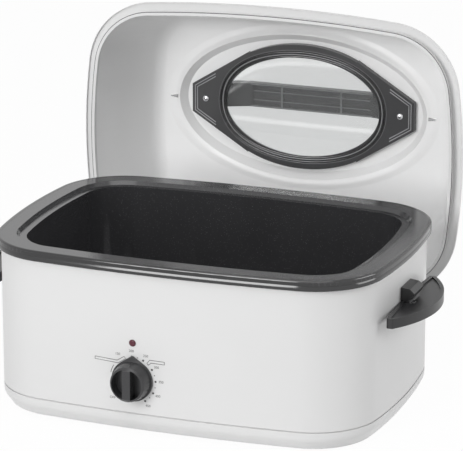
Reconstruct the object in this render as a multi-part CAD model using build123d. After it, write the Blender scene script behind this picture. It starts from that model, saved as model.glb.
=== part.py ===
from build123d import *
from math import asin, atan2, degrees, hypot, sqrt
import os

os.makedirs("parts", exist_ok=True)

# ---------------------------------------------------------------- driving sizes
# Millimetres. X runs along the long side, the control panel faces -Y and the
# table top is at Z = 0.

# Plan outline of the rim: eight arcs, bowed sides and round corners.
RIM_HALF_LENGTH = 268.0
RIM_HALF_DEPTH = 193.0
LONG_SIDE_RADIUS = 1970.0
SHORT_SIDE_RADIUS = 810.0
CORNER_RADIUS = 95.0

# Heights of the body.
RIM_HEIGHT = 231.0
PAN_LIP_DEPTH = 6.6
TRIM_HEIGHT = 7.2
SEAM_HEIGHT = 29.0
FOOT_HEIGHT = 5.0

# Sheet thicknesses and running gaps.
HOUSING_SHEET = 0.7
BASE_SHEET = 0.8
LINER_SHEET = 0.6
PAN_SHEET = 1.0
LID_SHEET = 0.8
RUNNING_GAP = 0.05
SEAT_GAP = 0.2
WELD_GAP = 0.05

# Insets from the rim's edge.
WALL_INSET = 6.0
SKIRT_FOOT_INSET = 16.0
LINER_INSET = 33.0
LINER_FLOOR = 46.0
PAN_FLANGE_WIDTH = 26.0
PAN_WALL_INSET = 39.0
PAN_FLOOR = 57.0
BAND_HEIGHT = 30.0
BAND_BOTTOM = 64.0
BAND_THICKNESS = 2.0

# Control panel.
KNOB_X = -42.0
KNOB_Z = 75.0
KNOB_RADIUS = 24.5
KNOB_SKIRT_RADIUS = 27.5
KNOB_HEIGHT = 23.0
SHAFT_RADIUS = 3.0
BUSH_RADIUS = 4.8
LAMP_Z = 124.5
LENS_RADIUS = 4.6

# Side handles.
HANDLE_Y = -7.0
HANDLE_HALF_LENGTH = 94.0
HANDLE_REACH = 45.0
HANDLE_WING_GAP = 4.0
HANDLE_END_WIDTH = 8.0
HANDLE_TOP = 166.0
HANDLE_THICKNESS = 13.0
HANDLE_RIM = 5.0
HANDLE_BLOCK_LENGTH = 40.0
HANDLE_BLOCK_RISE = 18.0
HANDLE_BLOCK_DEPTH = 18.0
HANDLE_SCREW_SPREAD = 13.0
HANDLE_SCREW_RISE = 8.0
SCREW_RADIUS = 2.0

# Roasting rack.
RACK_WIRE = 2.5
BAR_WIRE = 1.8
RACK_END_INSET = 80.0
RACK_SIDE_INSET = 77.0
RACK_CORNER = 60.0
RACK_LIFT = 14.0
RACK_BARS = 8
BAIL_HALF_WIDTH = 36.0
BAIL_HEIGHT = 90.0
KNUCKLE_RADIUS = 4.6
KNUCKLE_LENGTH = 8.0

# Lid, drawn closed: Z = 0 is the hem that rests on the pan's flange.
LID_BAND_REACH = 3.0
LID_BAND_HEIGHT = 12.0
LID_SKIRT_INSET = 9.0
LID_CROWN_HEIGHT = 140.0
LID_TAPER = 40.0
LID_CROWN_RADIUS = 20.0
LID_STEP = 10.0
LID_STEP_RUN = 9.0
LID_STEP_END_MARGIN = 19.0
LID_STEP_SIDE_MARGIN = 14.0
LID_REST_GAP = 0.3
WINDOW_FORWARD = 25.0
WINDOW_HALF_LENGTH = 113.0
WINDOW_HALF_DEPTH = 70.5
FRAME_RING_WIDTH = 18.5
FRAME_TAB_REACH = 50.0
FRAME_TAB_HALF_HEIGHT = 20.0
FRAME_DEPTH = 9.5
GLASS_THICKNESS = 4.0
LID_SCREW_REACH = 30.0
VENT_INSET = 78.0
LID_HANDLE_HEIGHT = 45.0
LID_HANDLE_WIDTH = 34.0
LID_HANDLE_THICKNESS = 13.0

# Swing arms that carry the lid behind the body.
ARM_LENGTH = 72.0
ARM_INSET = 116.0
ARM_THICKNESS = 4.0
ARM_WIDTH = 8.0
ARM_BOSS_RADIUS = 7.5
PIVOT_BEHIND_RIM = 5.0
PIVOT_BELOW_HEM = 4.5
PIVOT_RADIUS = 4.0
CHEEK_THICKNESS = 2.5
CHEEK_GAP = 0.4
BRACKET_HEIGHT = 36.0
EAR_THICKNESS = 3.0

# Feet, posts and the cord's way in.
FOOT_END_INSET = 83.0
FOOT_SIDE_INSET = 81.0
FOOT_STEM_RADIUS = 3.5
POST_END_INSET = 148.0
POST_SIDE_INSET = 118.0
POST_RADIUS = 6.0
POST_THREAD = 14.0
BASE_SCREW_RADIUS = 2.0
GLAND_X = 70.0
GLAND_Z = 52.0
GLAND_RADIUS = 7.0
CORD_RADIUS = 3.6

# ---------------------------------------------------------------- plan outline
LONG_CENTRE = LONG_SIDE_RADIUS - RIM_HALF_DEPTH
SHORT_CENTRE = SHORT_SIDE_RADIUS - RIM_HALF_LENGTH


def corner_centre():
    """Centre of the corner arc that touches a long side and a short side from inside."""
    to_long = LONG_SIDE_RADIUS - CORNER_RADIUS
    to_short = SHORT_SIDE_RADIUS - CORNER_RADIUS
    spacing = hypot(LONG_CENTRE, SHORT_CENTRE)
    along = (to_long**2 - to_short**2 + spacing**2) / (2 * spacing)
    across = sqrt(to_long**2 - along**2)
    towards = Vector(-SHORT_CENTRE, LONG_CENTRE) / spacing
    sideways = Vector(towards.Y, -towards.X)
    return Vector(0, -LONG_CENTRE) + towards * along + sideways * across


CORNER = corner_centre()
SIDE_ANGLE = degrees(atan2(CORNER.Y + LONG_CENTRE, CORNER.X))
END_ANGLE = degrees(atan2(CORNER.Y, CORNER.X + SHORT_CENTRE))


def half_outline_arcs():
    """(centre, radius, start, sweep) of right end, back right corner, back, back left corner."""
    turn = SIDE_ANGLE - END_ANGLE
    return [
        ((-SHORT_CENTRE, 0), SHORT_SIDE_RADIUS, -END_ANGLE, 2 * END_ANGLE),
        ((CORNER.X, CORNER.Y), CORNER_RADIUS, END_ANGLE, turn),
        ((0, -LONG_CENTRE), LONG_SIDE_RADIUS, SIDE_ANGLE, 180 - 2 * SIDE_ANGLE),
        ((-CORNER.X, CORNER.Y), CORNER_RADIUS, 180 - SIDE_ANGLE, turn),
    ]


def outline(grow=0.0):
    """Face inside the oval that lies `grow` outside the rim's edge."""
    half = [
        CenterArc(centre, radius + grow, start, sweep)
        for centre, radius, start, sweep in half_outline_arcs()
    ]
    return Face(Wire(half + [Rot(Z=180) * arc for arc in half]))


def slab(grow, bottom, top):
    """Flat plate of the oval outline."""
    return Pos(0, 0, bottom) * extrude(outline(grow), amount=top - bottom)


def around(section):
    """Carry a section drawn as (distance outside the rim, height) right round the oval."""
    half = []
    for centre, radius, start, sweep in half_outline_arcs():
        outward = Vector(1, 0, 0).rotate(Axis.Z, start)
        across = Vector(0, -1, 0).rotate(Axis.Z, start)
        upright = Plane(origin=Vector(*centre), x_dir=outward, z_dir=across)
        spindle = Axis((centre[0], centre[1], 0), (0, 0, 1))
        half.append(revolve(upright * Pos(radius, 0) * section, spindle, sweep))
    half_ring = half[0] + half[1:]
    return half_ring + Rot(Z=180) * half_ring


def pressed(points, bends, sheet, flats=3):
    """Section of a pressed sheet; its bends are made of narrow flats and a bend of 0 is a fold."""
    line = FilletPolyline(*points, radius=bends)
    path = []
    for edge in line.edges():
        steps = flats if edge.geom_type == GeomType.CIRCLE else 1
        path += [edge @ (step / steps) for step in range(steps)]
    folded = Polyline(*path, line @ 1)
    return make_face(offset(folded, amount=sheet, side=Side.LEFT, kind=Kind.INTERSECTION))


def front_wall_y(x, inset=WALL_INSET):
    """Y of the bowed front wall at `x`."""
    radius = LONG_SIDE_RADIUS - inset
    return LONG_CENTRE - sqrt(radius**2 - x**2)


def rod(start, end, radius):
    """Round bar between two points."""
    along = Vector(*end) - Vector(*start)
    return Plane(origin=Vector(*start), z_dir=along) * extrude(Circle(radius), amount=along.length)


def bent_wire(points, bend, radius, close=False):
    """Eight-sided wire through `points`: straight bars and turned elbows."""
    corner = Vector(*points[1])
    square_to = (Vector(*points[0]) - corner).cross(Vector(*points[2]) - corner)
    pieces = []
    for edge in FilletPolyline(*points, radius=bend, close=close).edges():
        section = Plane(origin=edge @ 0, z_dir=edge % 0, x_dir=square_to) * RegularPolygon(radius, 8)
        if edge.geom_type == GeomType.CIRCLE:
            turn = degrees(edge.length / edge.radius)
            spin = (edge @ 0 - edge.arc_center).cross(edge % 0)
            pieces.append(revolve(section, Axis(edge.arc_center, spin), turn))
        else:
            pieces.append(extrude(section, amount=edge.length))
    return pieces[0] + pieces[1:]


def mirrored_x(piece):
    """The same piece on the other end of the body."""
    return mirror(piece, about=Plane.YZ)


# ---------------------------------------------------------------- levels
TRIM_TOP = RIM_HEIGHT - PAN_LIP_DEPTH - SEAT_GAP
TRIM_BOTTOM = TRIM_TOP - TRIM_HEIGHT
HEM_TOP = TRIM_BOTTOM - LINER_SHEET
BASE_TOP = FOOT_HEIGHT + BASE_SHEET
LINER_OUTSIDE = LINER_INSET - LINER_SHEET
BAND_OUTSIDE = LINER_OUTSIDE - BAND_THICKNESS


def four_places(end_inset, side_inset):
    """The four corners of a rectangle set in from the rim's ends and sides."""
    half_length, half_depth = RIM_HALF_LENGTH - end_inset, RIM_HALF_DEPTH - side_inset
    return [(x, y) for x in (-half_length, half_length) for y in (-half_depth, half_depth)]


FEET = four_places(FOOT_END_INSET, FOOT_SIDE_INSET)
POSTS = four_places(POST_END_INSET, POST_SIDE_INSET)
WALL_X = RIM_HALF_LENGTH - WALL_INSET
HANDLE_SCREWS = [
    (HANDLE_Y + y, HANDLE_TOP + HANDLE_SCREW_RISE) for y in (-HANDLE_SCREW_SPREAD, HANDLE_SCREW_SPREAD)
]
RACK_Z = PAN_FLOOR + RACK_LIFT
RACK_HALF_LENGTH = RIM_HALF_LENGTH - RACK_END_INSET
RACK_HALF_DEPTH = RIM_HALF_DEPTH - RACK_SIDE_INSET
RACK_BEND = min(RACK_CORNER, RACK_HALF_DEPTH - BAIL_HALF_WIDTH - KNUCKLE_LENGTH)
CROWN_INSIDE = LID_CROWN_HEIGHT - LID_SHEET
LID_TOP = LID_CROWN_HEIGHT + LID_STEP
LID_INSIDE_TOP = LID_TOP - LID_SHEET
FRAME_HALF_LENGTH = WINDOW_HALF_LENGTH + FRAME_TAB_REACH
STEP_HALF_LENGTH = FRAME_HALF_LENGTH + LID_STEP_END_MARGIN
STEP_HALF_DEPTH = WINDOW_HALF_DEPTH + FRAME_RING_WIDTH + LID_STEP_SIDE_MARGIN
LID_SCREW_X = WINDOW_HALF_LENGTH + LID_SCREW_REACH
FRAME_BOTTOM = LID_INSIDE_TOP - FRAME_DEPTH
GLASS_BOTTOM = LID_INSIDE_TOP - GLASS_THICKNESS - 1.6
ARM_X = RIM_HALF_LENGTH - ARM_INSET
PIVOT_Y = RIM_HALF_DEPTH + PIVOT_BEHIND_RIM
LID_HEM_Z = RIM_HEIGHT + LID_REST_GAP
ARM_PIVOT_Z = LID_HEM_Z - PIVOT_BELOW_HEM - ARM_LENGTH
LID_PIVOT_Z = ARM_PIVOT_Z - ARM_LENGTH
EAR_X = ARM_X - ARM_THICKNESS / 2 - EAR_THICKNESS / 2 - 0.5
ROD_HALF_LENGTH = ARM_X + ARM_THICKNESS / 2 + 2


# ---------------------------------------------------------------- body shell
def weld_lines():
    """Hairlines where the eight panels of the wrap are butt welded, one panel for each arc."""
    cut = Box(60, WELD_GAP, 2 * RIM_HEIGHT)
    half = [
        Pos(*centre) * Rot(Z=start) * Pos(radius, 0) * cut
        for centre, radius, start, sweep in half_outline_arcs()
    ]
    return half + [Rot(Z=180) * line for line in half]


def outer_housing():
    """Painted steel wrap: flat hem on top, joggle at the foot, holes in front and back."""
    joggle = WALL_INSET + HOUSING_SHEET + 0.6
    points = [
        (-joggle, SEAM_HEIGHT - 6),
        (-joggle, SEAM_HEIGHT + 0.4),
        (-WALL_INSET, SEAM_HEIGHT + 2),
        (-WALL_INSET, HEM_TOP),
        (-WALL_INSET - 11, HEM_TOP),
    ]
    shell = around(pressed(points, [0, 0, 0], HOUSING_SHEET))
    front = front_wall_y(KNOB_X)
    shell -= rod((KNOB_X, front - 5, KNOB_Z), (KNOB_X, front + 5, KNOB_Z), BUSH_RADIUS + 0.2)
    shell -= rod((KNOB_X, front - 5, LAMP_Z), (KNOB_X, front + 5, LAMP_Z), LENS_RADIUS - 0.4)
    back = -front_wall_y(GLAND_X)
    shell -= rod((GLAND_X, back - 5, GLAND_Z), (GLAND_X, back + 5, GLAND_Z), GLAND_RADIUS)
    for side in (-1, 1):
        for y, z in HANDLE_SCREWS:
            reach = side * RIM_HALF_LENGTH
            shell -= rod((reach * 0.9, y, z), (reach, y, z), SCREW_RADIUS + 0.2)
    return shell - weld_lines()


def base_pan():
    """Shallow pressed pan that closes the bottom, its skirt flush with the wall."""
    points = [
        (-40, FOOT_HEIGHT),
        (-SKIRT_FOOT_INSET, FOOT_HEIGHT),
        (-WALL_INSET, FOOT_HEIGHT + 14),
        (-WALL_INSET, SEAM_HEIGHT),
    ]
    pan = around(pressed(points, [0, 12], BASE_SHEET, flats=2)) + slab(-40, FOOT_HEIGHT, BASE_TOP)
    for x, y in FEET:
        pan -= Pos(x, y, FOOT_HEIGHT) * Cylinder(FOOT_STEM_RADIUS + 0.2, 10)
    for x, y in POSTS:
        pan -= Pos(x, y, FOOT_HEIGHT) * Cylinder(BASE_SCREW_RADIUS + 0.2, 10)
    return pan


def rubber_feet():
    """Four moulded feet, each pushed through the base and held by its bulb."""
    profile = make_face(
        Polyline(
            (0, 0), (11, 0), (13, FOOT_HEIGHT), (FOOT_STEM_RADIUS, FOOT_HEIGHT),
            (FOOT_STEM_RADIUS - 1, BASE_TOP + 5), (0, BASE_TOP + 5), (0, 0),
        )
    )
    foot = revolve(Plane.XZ * profile, Axis.Z, 360)
    return [Pos(x, y, 0) * foot for x, y in FEET]


def support_posts():
    """Four hexagonal spacers that carry the liner's floor on the base."""
    height = LINER_FLOOR - LINER_SHEET - BASE_TOP
    spacer = extrude(RegularPolygon(POST_RADIUS, 6), amount=height)
    spacer -= Pos(0, 0, POST_THREAD / 2) * Cylinder(BASE_SCREW_RADIUS, POST_THREAD)
    return [Pos(x, y, BASE_TOP) * spacer for x, y in POSTS]


def base_screws():
    """Four screws through the base into the posts."""
    head = Pos(0, 0, FOOT_HEIGHT - 2) * extrude(RegularPolygon(4, 6), amount=2)
    reach = BASE_SHEET + POST_THREAD
    screw = head + Pos(0, 0, FOOT_HEIGHT + reach / 2) * Cylinder(BASE_SCREW_RADIUS, reach)
    return [Pos(x, y, 0) * screw for x, y in POSTS]


def rim_trim():
    """Dark rounded ring under the pan's lip."""
    points = [
        (-12, TRIM_BOTTOM), (-1.5, TRIM_BOTTOM), (0, TRIM_BOTTOM + 1.6),
        (0, TRIM_TOP - 1.6), (-1.5, TRIM_TOP), (-12, TRIM_TOP),
    ]
    return around(make_face(Polyline(*points, close=True)))


def inner_liner():
    """Heat-resisting well that hangs on its flange and takes the heating band."""
    points = [
        (-WALL_INSET - 2, TRIM_BOTTOM),
        (-LINER_INSET, TRIM_BOTTOM),
        (-LINER_INSET, LINER_FLOOR),
        (-LINER_INSET - 30, LINER_FLOOR),
    ]
    well = around(pressed(points, [0, 18], LINER_SHEET, flats=1))
    return well + slab(-LINER_INSET - 30, LINER_FLOOR - LINER_SHEET, LINER_FLOOR)


def ring(inner, outer, bottom, top):
    """Rectangular section carried round the oval, between two insets."""
    section = Pos(-(inner + outer) / 2, (bottom + top) / 2) * Rectangle(inner - outer, top - bottom)
    return around(section)


def heating_band():
    """Wire wound on mica, wrapped round the liner low down."""
    return ring(LINER_OUTSIDE, BAND_OUTSIDE, BAND_BOTTOM, BAND_BOTTOM + BAND_HEIGHT)


def insulation_blanket():
    """Glass-fibre blanket in the wall space, cut away behind the control panel."""
    blanket = ring(BAND_OUTSIDE - 0.3, WALL_INSET + 5, BASE_TOP + 34, HEM_TOP - 6)
    window = Pos(KNOB_X, -RIM_HALF_DEPTH, 100) * Box(96, 80, 110)
    entry = Pos(GLAND_X - 22, RIM_HALF_DEPTH, GLAND_Z) * Box(110, 80, 60)
    return blanket - window - entry


# ---------------------------------------------------------------- controls
def facing_front(piece, x, z, inset=WALL_INSET):
    """Put a piece drawn with its front along +Z on the front wall."""
    return Pos(x, front_wall_y(x, inset), z) * Rot(X=90) * piece


def thermostat():
    """Thermostat body with its threaded bush through the front wall."""
    body = Pos(0, 0, -HOUSING_SHEET - 9.5) * Box(34, 30, 17)
    body = fillet(body.edges().filter_by(Axis.Z), 3)
    body += Pos(0, 0, 0.5) * Cylinder(BUSH_RADIUS, 5)
    body += Pos(0, -15, -12) * Box(16, 8, 0.8)
    body -= Pos(0, 0, -2) * Cylinder(SHAFT_RADIUS + RUNNING_GAP, 20)
    return facing_front(body, KNOB_X, KNOB_Z)


def thermostat_nut():
    """Thin nut that clamps the thermostat to the wall."""
    nut = extrude(RegularPolygon(8, 6), amount=2) - Pos(0, 0, 1) * Cylinder(BUSH_RADIUS, 2)
    return facing_front(Pos(0, 0, 0.4) * nut, KNOB_X, KNOB_Z)


def control_shaft():
    """Round shaft with the flat that drives the knob."""
    shaft = Pos(0, 0, 3) * Cylinder(SHAFT_RADIUS, 26)
    shaft -= Pos(0, SHAFT_RADIUS, 11) * Box(8, 2, 10)
    return facing_front(shaft, KNOB_X, KNOB_Z)


def knob_outline():
    """Round skirt drawn out to a pointer at the top."""
    tip = Pos(0, KNOB_SKIRT_RADIUS + 2.5) * Circle(2.5)
    return make_hull((Circle(KNOB_SKIRT_RADIUS) + tip).edges())


def control_knob():
    """Moulded knob: pointer skirt, domed cap and an upright grip between two scoops."""
    skirt = extrude(knob_outline(), amount=4)
    cap = Pos(0, 0, KNOB_HEIGHT / 2) * Cone(KNOB_SKIRT_RADIUS - 1, KNOB_RADIUS - 2, KNOB_HEIGHT)
    cap = chamfer(cap.edges().sort_by(Axis.Z)[-1], 3)
    scoop_plan = Circle(KNOB_RADIUS - 4) - Rectangle(11, 2 * KNOB_RADIUS)
    scoops = Pos(0, 0, 7) * extrude(scoop_plan, amount=KNOB_HEIGHT)
    knob = skirt + cap - scoops
    socket = Pos(0, 0, 8) * Cylinder(SHAFT_RADIUS, 16) - Pos(0, SHAFT_RADIUS, 11) * Box(8, 2, 10)
    counterbore = Cylinder(10.5, 6)
    return facing_front(Pos(0, 0, 0.6) * (knob - counterbore) - socket, KNOB_X, KNOB_Z)


def indicator_lens():
    """Domed red lens pushed through the wall."""
    lens = Pos(0, 0, 1) * Cylinder(LENS_RADIUS, 2) + Pos(0, 0, -4) * Cylinder(LENS_RADIUS - 0.5, 8)
    lens = chamfer(lens.edges().sort_by(Axis.Z)[-1], 1.2)
    return facing_front(Pos(0, 0, 0.15) * lens, KNOB_X, LAMP_Z)


def indicator_lamp():
    """Neon lamp body behind the lens."""
    lamp = Pos(0, 0, -14) * Cylinder(LENS_RADIUS + 1.4, 12)
    return facing_front(lamp, KNOB_X, LAMP_Z)


def cord_gland():
    """Bush through the back wall where the supply cord enters."""
    outside, inside = 0.5, -HOUSING_SHEET - 0.5
    gland = Pos(0, 0, 0.5) * Cylinder(GLAND_RADIUS, 13)
    gland += Pos(0, 0, outside + 2) * Cylinder(GLAND_RADIUS + 3, 4)
    gland += Pos(0, 0, inside - 2) * Cylinder(GLAND_RADIUS + 2, 4)
    gland -= Cylinder(CORD_RADIUS, 40)
    return Pos(GLAND_X, -front_wall_y(GLAND_X), GLAND_Z) * Rot(X=-90) * gland


def terminal_block():
    """Ceramic connector block that joins the supply cord to the wiring."""
    depth, x = 12, GLAND_X - 38
    block = Box(30, depth, 14) - Pos(0, 0, 6) * Box(26, 4, 4)
    wall = -front_wall_y(x + 15) - HOUSING_SHEET
    return Pos(x, wall - SEAT_GAP - depth / 2, GLAND_Z) * block


# ---------------------------------------------------------------- side handles
def handle_right():
    """Half-moon carrying handle whose wings stand off the wall, with its mounting block."""
    inner = WALL_X + SEAT_GAP
    wing = inner + HANDLE_WING_GAP
    end = wing + HANDLE_END_WIDTH
    root = HANDLE_BLOCK_LENGTH / 2 + 4
    length = HANDLE_HALF_LENGTH
    bow = ThreePointArc((end, -length), (WALL_X + HANDLE_REACH, 0), (end, length))
    back = Polyline(
        (end, length), (wing, length), (inner, root), (inner, -root), (wing, -length), (end, -length)
    )
    plan = make_face([bow, *back.edges()])
    corners = plan.vertices().sort_by(Axis.Y)
    plan = Pos(0, HANDLE_Y) * fillet(corners[:2] + corners[-2:], 3)
    bottom = HANDLE_TOP - HANDLE_THICKNESS
    plate = Pos(0, 0, bottom) * extrude(plan, amount=HANDLE_THICKNESS)
    dish = offset(plan, amount=-HANDLE_RIM)
    plate -= Pos(0, 0, HANDLE_TOP - 2) * extrude(dish, amount=4)
    plate -= Pos(0, 0, bottom - 1) * extrude(dish, amount=HANDLE_THICKNESS - 5)
    block_top = HANDLE_TOP + HANDLE_BLOCK_RISE
    block_profile = Polyline(
        (inner, HANDLE_TOP - 5), (inner, block_top), (inner + 12, block_top - 1.5),
        (inner + HANDLE_BLOCK_DEPTH, block_top - 7), (inner + HANDLE_BLOCK_DEPTH - 2, HANDLE_TOP + 5),
        (inner + 10, HANDLE_TOP + 1), (inner + HANDLE_BLOCK_DEPTH, HANDLE_TOP - 5), close=True,
    )
    block = extrude(Plane.XZ * make_face(block_profile), amount=HANDLE_BLOCK_LENGTH / 2, both=True)
    handle = plate + Pos(0, HANDLE_Y, 0) * block - slab(-WALL_INSET + SEAT_GAP, 0, RIM_HEIGHT)
    for y, z in HANDLE_SCREWS:
        handle -= rod((inner - 2, y, z), (inner + 8, y, z), SCREW_RADIUS)
    return handle


def handle_screws():
    """Screws from inside the wall into the handle blocks."""
    screws = []
    for side in (-1, 1):
        for y, z in HANDLE_SCREWS:
            wall = WALL_X - y**2 / (2 * SHORT_SIDE_RADIUS)
            inside = side * (wall - HOUSING_SHEET - 0.1)
            head = Pos(inside, y, z) * Rot(Y=-90 * side) * extrude(RegularPolygon(4, 6), amount=2.4)
            stem = rod((inside, y, z), (side * (WALL_X + 8), y, z), SCREW_RADIUS)
            screws.append(head + stem)
    return screws


# ---------------------------------------------------------------- pan and rack
def roasting_pan():
    """Enamelled pan: rolled lip, flat flange, stepped ledge, deep well."""
    ledge = RIM_HEIGHT - 5
    roll = 2.0
    points = [
        (0, RIM_HEIGHT - PAN_LIP_DEPTH),
        (0, RIM_HEIGHT - roll),
        (-roll, RIM_HEIGHT),
        (-PAN_FLANGE_WIDTH, RIM_HEIGHT),
        (-PAN_FLANGE_WIDTH - 4, ledge),
        (-PAN_WALL_INSET, ledge),
        (-PAN_WALL_INSET - 6, PAN_FLOOR),
        (-PAN_WALL_INSET - 36, PAN_FLOOR),
    ]
    pan = around(pressed(points, [0, 0, 0, 0, 0, 20], PAN_SHEET))
    return pan + slab(-PAN_WALL_INSET - 36, PAN_FLOOR - PAN_SHEET, PAN_FLOOR)


def rack_frame():
    """Oval wire frame on four stub feet."""
    ends, sides = RACK_HALF_LENGTH, RACK_HALF_DEPTH
    plan = [(-ends, -sides), (ends, -sides), (ends, sides), (-ends, sides)]
    corners = [(x, y, RACK_Z) for x, y in plan]
    frame = bent_wire(corners, RACK_BEND, RACK_WIRE, close=True)
    for x in (-ends + RACK_BEND + 20, ends - RACK_BEND - 20):
        for y in (-sides, sides):
            frame += rod((x, y, PAN_FLOOR + SEAT_GAP), (x, y, RACK_Z), BAR_WIRE)
    return frame


def rack_bars():
    """Cross bars welded on top of the frame."""
    span = RACK_HALF_LENGTH - RACK_BEND
    over = RACK_Z + RACK_WIRE + BAR_WIRE + WELD_GAP
    bars = []
    for number in range(RACK_BARS):
        x = span * (2 * number / (RACK_BARS - 1) - 1)
        bars.append(rod((x, -RACK_HALF_DEPTH, over), (x, RACK_HALF_DEPTH, over), BAR_WIRE))
    return bars


def rack_bail_right():
    """Wire handle that turns on the frame's end, drawn upright and laid on the bars."""
    root = KNUCKLE_RADIUS - 1
    path = [
        (0, -BAIL_HALF_WIDTH, root), (0, -BAIL_HALF_WIDTH, BAIL_HEIGHT),
        (0, BAIL_HALF_WIDTH, BAIL_HEIGHT), (0, BAIL_HALF_WIDTH, root),
    ]
    bail = bent_wire(path, 12, RACK_WIRE)
    for y in (-BAIL_HALF_WIDTH, BAIL_HALF_WIDTH):
        knuckle = Cylinder(KNUCKLE_RADIUS, KNUCKLE_LENGTH)
        bail += Pos(0, y, 0) * Rot(X=90) * (knuckle - Cylinder(RACK_WIRE + RUNNING_GAP, KNUCKLE_LENGTH))
    bars_top = RACK_WIRE + 2 * BAR_WIRE + WELD_GAP
    slope = degrees(asin((bars_top + RACK_WIRE + 2 * SEAT_GAP) / RACK_BEND))
    return Pos(RACK_HALF_LENGTH, 0, RACK_Z) * Rot(Y=slope - 90) * bail


# ---------------------------------------------------------------- lid
def window_oval(grow, bottom, top):
    """Elliptical plug centred on the window."""
    oval = Ellipse(WINDOW_HALF_LENGTH + grow, WINDOW_HALF_DEPTH + grow)
    return Pos(0, -WINDOW_FORWARD, bottom) * extrude(oval, amount=top - bottom)


def lid_shell():
    """Deep drawn lid: flared band, hemmed skirt, tapered wall, crown stepped up round the window."""
    crown_edge = LID_SKIRT_INSET + LID_TAPER + LID_CROWN_RADIUS + 8
    points = [
        (-LID_SKIRT_INSET, 0),
        (-LID_SKIRT_INSET - 1, LID_BAND_HEIGHT),
        (-LID_SKIRT_INSET - LID_TAPER, LID_CROWN_HEIGHT),
        (-crown_edge, LID_CROWN_HEIGHT),
    ]
    shell = around(pressed(points, [0, LID_CROWN_RADIUS], LID_SHEET, flats=5))
    band = Polyline(
        (-LID_SKIRT_INSET - 1.4, LID_BAND_HEIGHT - LID_SHEET),
        (LID_BAND_REACH - LID_SHEET, LID_BAND_HEIGHT - LID_SHEET),
        (LID_BAND_REACH - LID_SHEET, LID_BAND_HEIGHT - 4),
        (LID_BAND_REACH, LID_BAND_HEIGHT - 4),
        (LID_BAND_REACH, LID_BAND_HEIGHT),
        (-LID_SKIRT_INSET - 1.4, LID_BAND_HEIGHT),
        close=True,
    )
    shell += around(make_face(band))
    shell += ring(LID_SKIRT_INSET + 4, LID_SKIRT_INSET + LID_SHEET / 2, 0, 3.5)
    shell += slab(-crown_edge, CROWN_INSIDE, LID_CROWN_HEIGHT)
    step = loft([
        Plane.XY.offset(height) * Ellipse(STEP_HALF_LENGTH - inset, STEP_HALF_DEPTH - inset)
        for height, inset in ((CROWN_INSIDE, 0), (LID_INSIDE_TOP, LID_STEP_RUN))
    ])
    step = Pos(0, -WINDOW_FORWARD, 0) * step
    shell = shell + Pos(0, 0, LID_SHEET) * step - step
    shell -= window_oval(5, LID_INSIDE_TOP - 1, LID_TOP + 1)
    for side in (-1, 1):
        screw_hole = Cylinder(SCREW_RADIUS + 0.3, 6)
        shell -= Pos(side * LID_SCREW_X, -WINDOW_FORWARD, LID_TOP) * screw_hole
        vent = extrude(SlotOverall(12, 4), amount=3, both=True)
        shell -= Pos(side * (RIM_HALF_LENGTH - VENT_INSET), -WINDOW_FORWARD, LID_CROWN_HEIGHT) * vent
    return shell


def frame_plan():
    """Oval ring outline with a tapered tab at each end."""
    tab = Polygon(
        (FRAME_HALF_LENGTH, -FRAME_TAB_HALF_HEIGHT), (FRAME_HALF_LENGTH, FRAME_TAB_HALF_HEIGHT),
        (80, 72), (80, -72), align=None,
    )
    oval = Ellipse(WINDOW_HALF_LENGTH + FRAME_RING_WIDTH, WINDOW_HALF_DEPTH + FRAME_RING_WIDTH)
    return oval + tab + Rot(Z=180) * tab


def window_frame():
    """Dark moulded frame clamped under the crown, with raised lines round its tabs."""
    frame = Pos(0, -WINDOW_FORWARD, FRAME_BOTTOM) * extrude(frame_plan(), amount=FRAME_DEPTH)
    frame -= window_oval(0, FRAME_BOTTOM - 1, LID_TOP)
    frame -= window_oval(9, GLASS_BOTTOM - 0.8, LID_TOP)
    for side in (-1, 1):
        hole = Cylinder(SCREW_RADIUS + 0.2, 40)
        frame -= Pos(side * LID_SCREW_X, -WINDOW_FORWARD, FRAME_BOTTOM) * hole
    return frame


def window_glass():
    """Oval tempered glass."""
    return window_oval(8, GLASS_BOTTOM, GLASS_BOTTOM + GLASS_THICKNESS)


def window_gasket():
    """Silicone ring that holds the glass's edge."""
    seal = window_oval(9, GLASS_BOTTOM - 0.8, LID_INSIDE_TOP)
    return seal - window_oval(3, GLASS_BOTTOM - 2, LID_TOP) - window_glass()


def window_screws():
    """Plated screws through frame and crown into the lid handle."""
    head = Pos(0, 0, FRAME_BOTTOM - 1.2) * Cone(3, 4.4, 2.4)
    stem = Pos(0, 0, FRAME_BOTTOM + 9) * Cylinder(SCREW_RADIUS, 18)
    return [Pos(side * LID_SCREW_X, -WINDOW_FORWARD, 0) * (head + stem) for side in (-1, 1)]


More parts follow.
